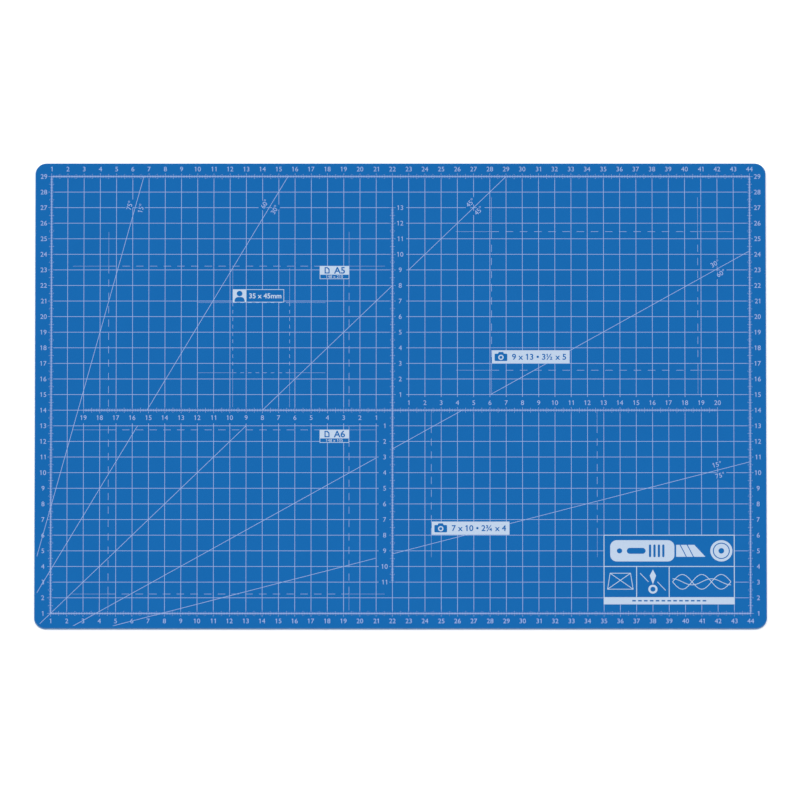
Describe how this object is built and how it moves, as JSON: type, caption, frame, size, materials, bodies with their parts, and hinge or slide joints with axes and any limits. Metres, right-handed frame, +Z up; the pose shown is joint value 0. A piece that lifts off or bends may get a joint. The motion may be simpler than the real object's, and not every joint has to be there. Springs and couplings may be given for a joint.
{
  "type": "cutting mat",
  "caption": "Rectangular self-closing cutting mat: bonded PVC sheets with a printed centimetre grid, ticked scales, angle lines and format outlines.",
  "frame": {"origin": "middle of the underside, on the surface that the mat lies on", "axes": "+X along the long side, to the right as the numerals read; +Y to the back edge; +Z up out of the printed face"},
  "size_m": [0.45, 0.298, 0.003],
  "materials": {
    "blue_soft_pvc": "matt",
    "hard_pvc": "matt",
    "core_pvc": "matt",
    "white_ink": "matt"
  },
  "bodies": {
    "root": {"a5_outline": "white_ink", "a5_plate": "white_ink", "a6_outline": "white_ink", "a6_plate": "white_ink", "angle_labels": "white_ink", "angle_line_15": "white_ink", "angle_line_30": "white_ink", "angle_line_45": "white_ink", "angle_line_60": "white_ink", "angle_line_75": "white_ink", "back_numerals": "white_ink", "back_scale": "white_ink", "bottom_sheet": "blue_soft_pvc", "centimetre_grid": "white_ink", "core_sheet": "core_pvc", "cross_back_numerals": "white_ink", "cross_front_numerals": "white_ink", "cross_left_numerals": "white_ink", "cross_long_scale": "white_ink", "cross_right_numerals": "white_ink", "cross_short_scale": "white_ink", "front_numerals": "white_ink", "front_scale": "white_ink", "large_photo_outline": "white_ink", "large_photo_plate": "white_ink", "left_numerals": "white_ink", "left_scale": "white_ink", "lower_stiffener": "hard_pvc", "panel_motif": "white_ink", "panel_pictograms": "white_ink", "panel_rules": "white_ink", "passport_outline": "white_ink", "passport_plate": "white_ink", "right_numerals": "white_ink", "right_scale": "white_ink", "small_photo_outline": "white_ink", "small_photo_plate": "white_ink", "top_sheet": "blue_soft_pvc", "upper_stiffener": "hard_pvc"}
  },
  "joints": []
}
